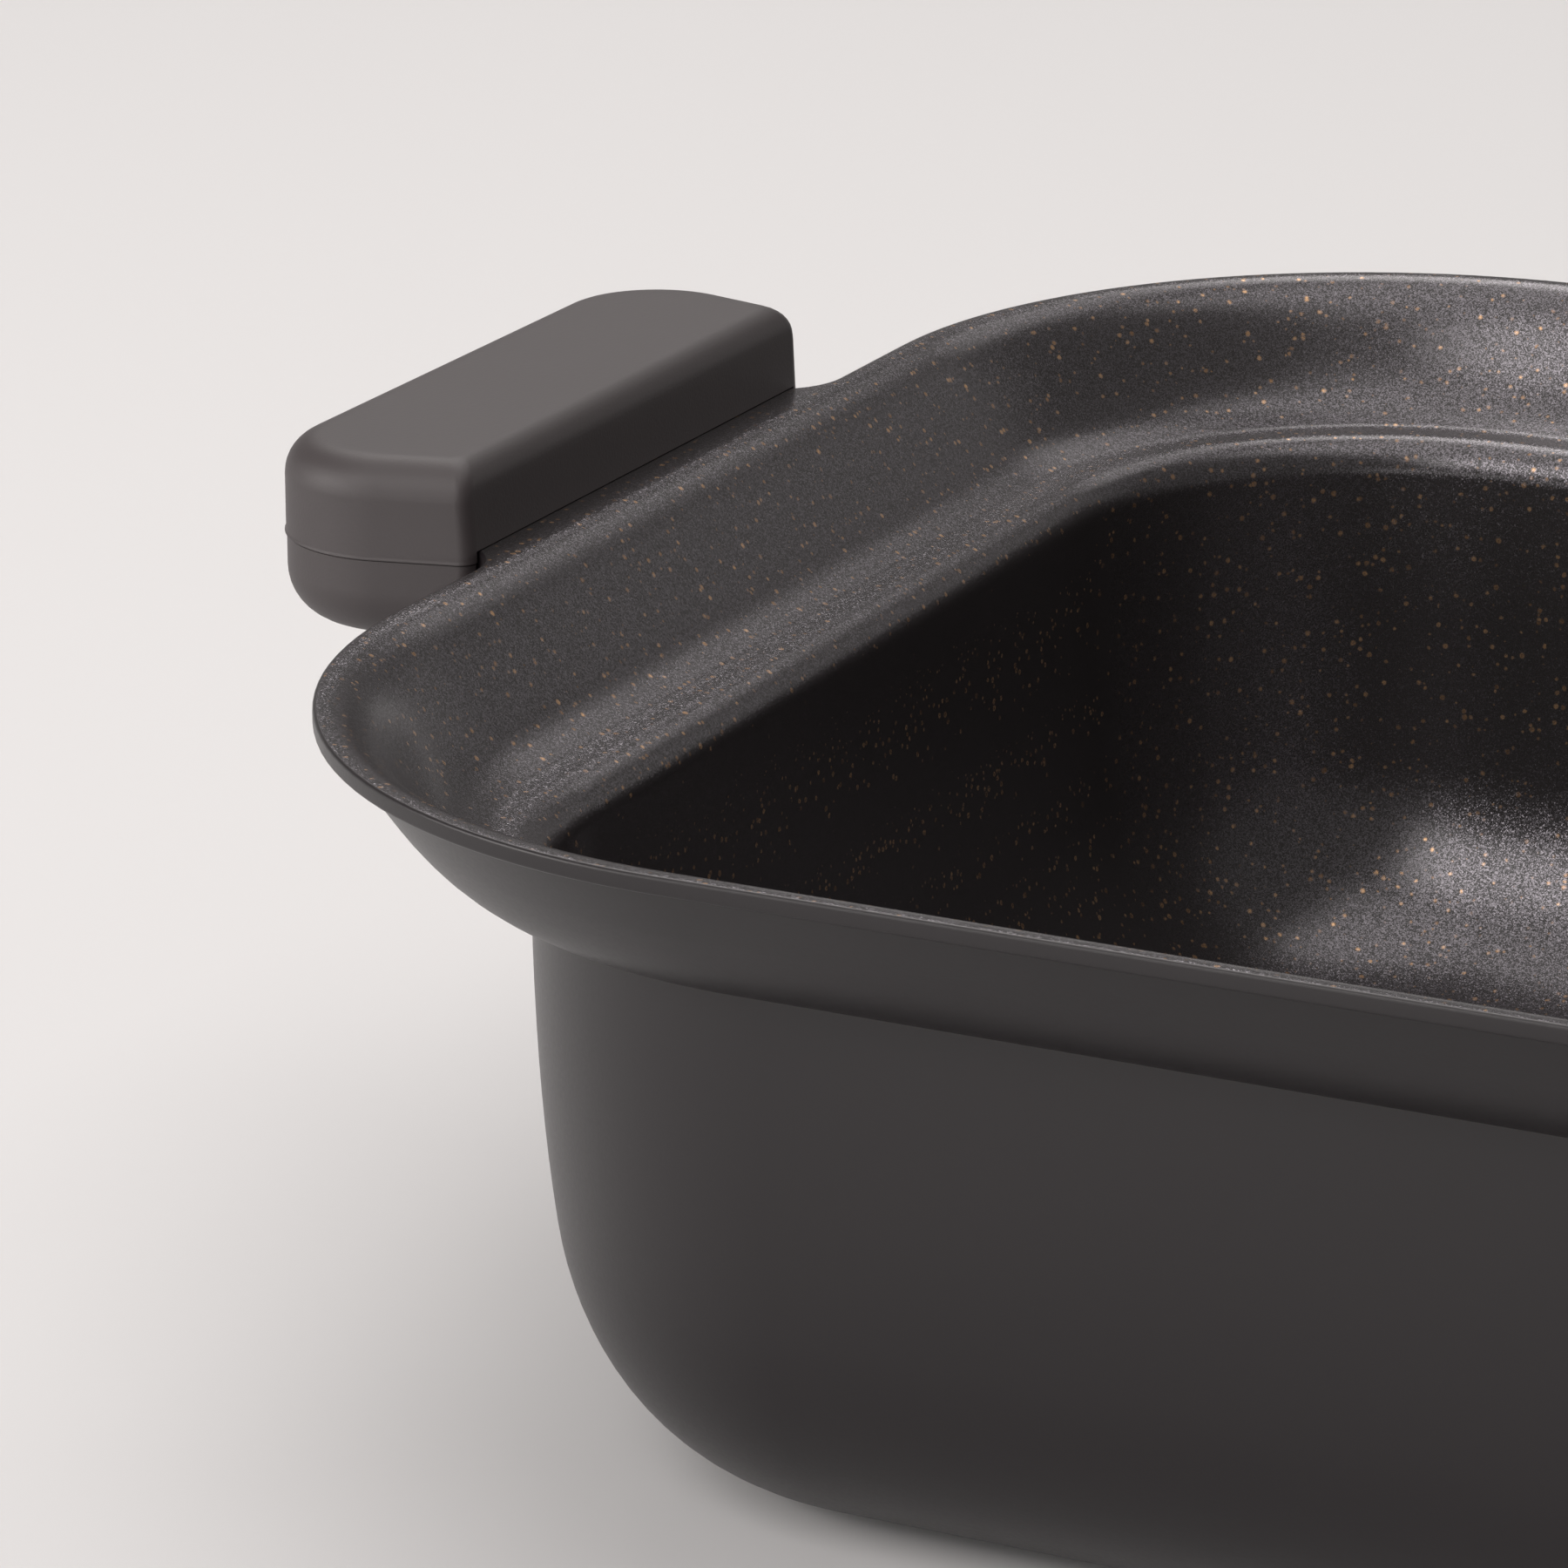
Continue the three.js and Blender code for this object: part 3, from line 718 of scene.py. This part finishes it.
def fleck_lining():
    """Fluoropolymer non-stick coat, sprayed over the casting's inside: charcoal with a sheen, gold
    mineral flecks that gleam, and fine mica that lies at all angles and sparkles pale where the light
    glances."""
    finish, tree, place = new_finish("fluoropolymer_coat_sprayed_flecked")
    waver = add(tree, "TexNoise", {"Vector": place, "Scale": per_mm(0.5), "Detail": 1.0})
    ragged = add(tree, "VectorMath", {
        0: waver.outputs["Color"],
        1: (0.25 * MM,) * 3,
        2: place,
    }, operation="MULTIPLY_ADD").outputs["Vector"]
    gold, gold_tone = flecks(tree, ragged, size=1.0, share=0.65, radius=0.42, soft=0.26)
    gleam = add(tree, "Math", {0: gold, 1: 0.75}, operation="MULTIPLY").outputs["Value"]
    gold_tint = add(tree, "Mix", {
        "Factor": gold_tone,
        MIX_A: linear("#8a6c50"),
        MIX_B: linear("#c9a27a"),
    }, data_type="RGBA")
    colour = add(tree, "Mix", {
        "Factor": gold,
        MIX_A: linear("#2c2a2a"),
        MIX_B: gold_tint.outputs[MIX_RESULT],
    }, data_type="RGBA")
    pebble = add(tree, "TexNoise", {"Vector": place, "Scale": per_mm(0.6), "Detail": 2.0}).outputs["Fac"]
    bump = add(tree, "Bump", {"Height": pebble, "Strength": 0.2, "Distance": 0.1 * MM})
    coat = add(tree, "BsdfPrincipled", {
        "Base Color": colour.outputs[MIX_RESULT],
        "Metallic": gleam,
        "Roughness": 0.23,
        "IOR": 1.42,
        "Normal": bump.outputs["Normal"],
    })
    # Real mica flakes are about 0.05 mm across. They are drawn coarser here, so that they show.
    flake = add(tree, "TexVoronoi", {"Vector": place, "Scale": per_mm(0.14)})
    drawn = add(tree, "SeparateColor", {"Color": flake.outputs["Color"]})
    tilt = 0.22
    tilted = add(tree, "VectorMath", {
        0: flake.outputs["Color"],
        1: (tilt,) * 3,
        2: add(tree, "NewGeometry").outputs["Normal"],
    }, operation="MULTIPLY_ADD").outputs["Vector"]
    level = add(tree, "VectorMath", {
        0: tilted,
        1: (tilt / 2,) * 3,
    }, operation="SUBTRACT").outputs["Vector"]
    mica = add(tree, "BsdfPrincipled", {
        "Base Color": linear("#8f8b91"),
        "Metallic": 1.0,
        "Roughness": 0.26,
        "Normal": add(tree, "VectorMath", {0: level}, operation="NORMALIZE").outputs["Vector"],
    })
    cover = add(tree, "MapRange", {"Value": drawn.outputs["Red"], "From Min": 0.3, "To Max": 0.6})
    both = add(tree, "MixShader", {
        0: cover.outputs["Result"],
        1: coat.outputs["BSDF"],
        2: mica.outputs["BSDF"],
    })
    add(tree, "OutputMaterial", {"Surface": both.outputs["Shader"]})
    return finish


def phenolic_moulding():
    """Phenolic resin, compression moulded in a finely blasted tool: dark warm grey, dull, with a
    close grain."""
    finish, tree, place = new_finish("phenolic_resin_moulded")
    cloud = add(tree, "TexNoise", {"Vector": place, "Scale": per_mm(12.0), "Detail": 4.0}).outputs["Fac"]
    # The tool's blasted grain is about 0.15 mm. It is drawn coarser here, so that it shows.
    grain = add(tree, "TexNoise", {"Vector": place, "Scale": per_mm(0.35), "Detail": 2.0}).outputs["Fac"]
    bump = add(tree, "Bump", {"Height": grain, "Strength": 0.4, "Distance": 0.05 * MM})
    tone = add(tree, "Mix", {
        "Factor": cloud,
        MIX_A: linear("#2d2627"),
        MIX_B: linear("#312a2b"),
    }, data_type="RGBA")
    shader = add(tree, "BsdfPrincipled", {
        "Base Color": tone.outputs[MIX_RESULT],
        "Roughness": 0.55,
        "IOR": 1.65,
        "Normal": bump.outputs["Normal"],
    })
    add(tree, "OutputMaterial", {"Surface": shader.outputs["BSDF"]})
    return finish


def spun_stainless():
    """Ferritic stainless sheet, faced on a lathe after pressing: bright satin with fine rings round
    its middle."""
    finish, tree, place = new_finish("stainless_steel_spun")
    apart = add(tree, "SeparateXYZ", {"Vector": place})
    flat = add(tree, "CombineXYZ", {"X": apart.outputs["X"], "Y": apart.outputs["Y"]})
    reach = add(tree, "VectorMath", {0: flat.outputs["Vector"]}, operation="LENGTH")
    rings = add(tree, "TexNoise", {
        "W": reach.outputs["Value"],
        "Scale": per_mm(0.4),
        "Detail": 2.0,
    }, noise_dimensions="1D")
    bump = add(tree, "Bump", {"Height": rings.outputs["Fac"], "Strength": 0.3, "Distance": 0.02 * MM})
    rough = add(tree, "MapRange", {"Value": rings.outputs["Fac"], "To Min": 0.24, "To Max": 0.38})
    shader = add(tree, "BsdfPrincipled", {
        "Base Color": linear("#b9b8b4"),
        "Metallic": 1.0,
        "Roughness": rough.outputs["Result"],
        "Normal": bump.outputs["Normal"],
    })
    add(tree, "OutputMaterial", {"Surface": shader.outputs["BSDF"]})
    return finish


def worked_metal(name, light, dark, grain_mm, roughness):
    """A metal as its tool left it: a mottle between two tones at the size of its grain."""
    finish, tree, place = new_finish(name)
    mottle = add(tree, "TexNoise", {"Vector": place, "Scale": per_mm(grain_mm), "Detail": 3.0})
    bump = add(tree, "Bump", {"Height": mottle.outputs["Fac"], "Strength": 0.2, "Distance": 0.02 * MM})
    tone = add(tree, "Mix", {
        "Factor": mottle.outputs["Fac"],
        MIX_A: linear(dark),
        MIX_B: linear(light),
    }, data_type="RGBA")
    shader = add(tree, "BsdfPrincipled", {
        "Base Color": tone.outputs[MIX_RESULT],
        "Metallic": 1.0,
        "Roughness": roughness,
        "Normal": bump.outputs["Normal"],
    })
    add(tree, "OutputMaterial", {"Surface": shader.outputs["BSDF"]})
    return finish


# Stage, light and camera

PAPER = "#dfdfdf"
PAPER_HALF = 6000.0
PAPER_THICK = 20.0
# The paper lies just under the base, so that the two faces don't coincide.
PAPER_DROP = 0.2
# The paper fades into the wall over these distances, and the wall ends at these elevations, in degrees.
BACK_WALL = "#e3dfdd"
FADE_START = 700.0
FADE_END = 2200.0
WALL_TOP = 3.0
WALL_GONE = 9.0

LAMP_TINT = "#fffaf8"
WORLD_STRENGTH = 0.225
# For each lamp: the turn and the rise that it shines from, in degrees, its distance and size in metres,
# and its level.
LIGHTS = {
    "top_softbox": (180.0, 88.0, 1.2, (1.1, 1.1), 0.37),
    "back_softbox": (125.0, 47.0, 3.0, (1.4, 1.3), 0.26),
    "back_right_softbox": (85.0, 45.0, 3.0, (1.4, 1.3), 0.07),
    "front_high_softbox": (258.0, 43.0, 3.0, (2.0, 1.6), 0.38),
    "left_softbox": (215.0, 18.0, 2.2, (1.35, 1.0), 0.44),
    "front_strip": (270.0, 6.0, 3.0, (4.0, 0.5), 0.22),
    "right_softbox": (62.0, 18.0, 3.0, (1.8, 1.0), 0.014),
}

# The camera: its sensor, lens and place in millimetres, and how far it turns left and looks down, in
# degrees
SENSOR = 36.0
LENS = 168.84
EYE = Vector((251.36, -730.44, 319.54))
EYE_TURN = 26.6
EYE_DROP = 18.21


def studio_paper():
    """Matt paper that takes the pot's shadow and fades into the pale wall."""
    finish, tree, place = new_finish("studio_paper_rolled_matt")
    shader = add(tree, "BsdfPrincipled", {
        "Base Color": linear(PAPER),
        "Roughness": 0.9,
        "Specular IOR Level": 0.0,
    })
    away = add(tree, "VectorMath", {0: place}, operation="LENGTH").outputs["Value"]
    faded = add(tree, "MapRange", {
        "Value": away,
        "From Min": FADE_START * MM,
        "From Max": FADE_END * MM,
    }, interpolation_type="SMOOTHSTEP").outputs["Result"]
    wall = add(tree, "Emission", {"Color": linear(BACK_WALL)})
    both = add(tree, "MixShader", {0: faded, 1: shader.outputs["BSDF"], 2: wall.outputs["Emission"]})
    add(tree, "OutputMaterial", {"Surface": both.outputs["Shader"]})
    return finish


def make_floor():
    """A wide square of paper under the pot."""
    corners = ((-1.0, -1.0), (1.0, -1.0), (1.0, 1.0), (-1.0, 1.0))
    outline = [Vector(corner) * PAPER_HALF for corner in corners]
    floor = make_piece("floor", prism(outline, -PAPER_DROP - PAPER_THICK, -PAPER_DROP))
    floor.data.materials.append(studio_paper())


def make_world(strength):
    """Even light from all round, over a low pale wall that ends the floor."""
    world = bpy.data.worlds.new("studio")
    world.use_nodes = True
    tree = world.node_tree
    tree.nodes.clear()
    towards = add(tree, "SeparateXYZ", {"Vector": add(tree, "TexCoord").outputs["Generated"]})
    above = add(tree, "MapRange", {
        "Value": towards.outputs["Z"],
        "From Min": math.sin(math.radians(WALL_TOP)),
        "From Max": math.sin(math.radians(WALL_GONE)),
    }, interpolation_type="SMOOTHSTEP").outputs["Result"]
    wall = add(tree, "Background", {"Color": linear(BACK_WALL)})
    sky = add(tree, "Background", {"Color": linear(LAMP_TINT), "Strength": strength})
    both = add(tree, "MixShader", {0: above, 1: wall.outputs["Background"], 2: sky.outputs["Background"]})
    add(tree, "OutputWorld", {"Surface": both.outputs["Shader"]})
    bpy.context.scene.world = world


def make_light(name, azimuth, elevation, distance, size, level):
    """A softbox that faces the pot, placed by the direction it shines from, in degrees, with +X at 0.
    Its level is the light that it throws on a card held up to it at the pot."""
    lamp = bpy.data.lights.new(name, "AREA")
    lamp.shape = "RECTANGLE"
    lamp.size, lamp.size_y = size
    lamp.energy = level * (math.pi * distance) ** 2
    lamp.color = linear(LAMP_TINT)[:3]
    turn = math.radians(azimuth)
    rise = math.radians(elevation)
    towards = Vector((math.cos(turn) * math.cos(rise), math.sin(turn) * math.cos(rise), math.sin(rise)))
    light = bpy.data.objects.new(name, lamp)
    light.location = towards * distance
    light.rotation_euler = towards.to_track_quat("Z", "Y").to_euler()
    light.visible_camera = False
    bpy.context.scene.collection.objects.link(light)


def make_camera():
    """The photograph's view, from in front and a little to the right, looking down on the left grip."""
    camera = bpy.data.cameras.new("camera")
    camera.sensor_width = SENSOR
    camera.lens = LENS
    eye = bpy.data.objects.new("camera", camera)
    eye.location = EYE * MM
    eye.rotation_euler = (math.radians(90.0 - EYE_DROP), 0.0, math.radians(EYE_TURN))
    bpy.context.scene.collection.objects.link(eye)
    bpy.context.scene.camera = eye


make_camera()
make_floor()
make_world(WORLD_STRENGTH)
for lamp_name, settings in LIGHTS.items():
    make_light(lamp_name, *settings)
bpy.context.scene.view_settings.view_transform = "Standard"

# Aluminium, cast and then faced: pale grey, with a soft broken gleam.
aluminium = worked_metal("aluminium_cast_faced", "#c9cac9", "#a9aaab", grain_mm=0.6, roughness=0.4)
# Steel, zinc plated: cool grey and brighter, clouded by the plating bath.
zinc = worked_metal("steel_zinc_plated", "#c3c5c6", "#a3a6a8", grain_mm=1.2, roughness=0.32)
# Brass, off the lathe: yellow and bright.
brass = worked_metal("brass_machined", "#c8a662", "#a9874a", grain_mm=0.8, roughness=0.3)
make_pot(sprayed_paint(), fleck_lining(), aluminium)
make_plate(spun_stainless())
make_grips(phenolic_moulding())
make_screws(zinc)
dress_washers_and_inserts(zinc, brass)
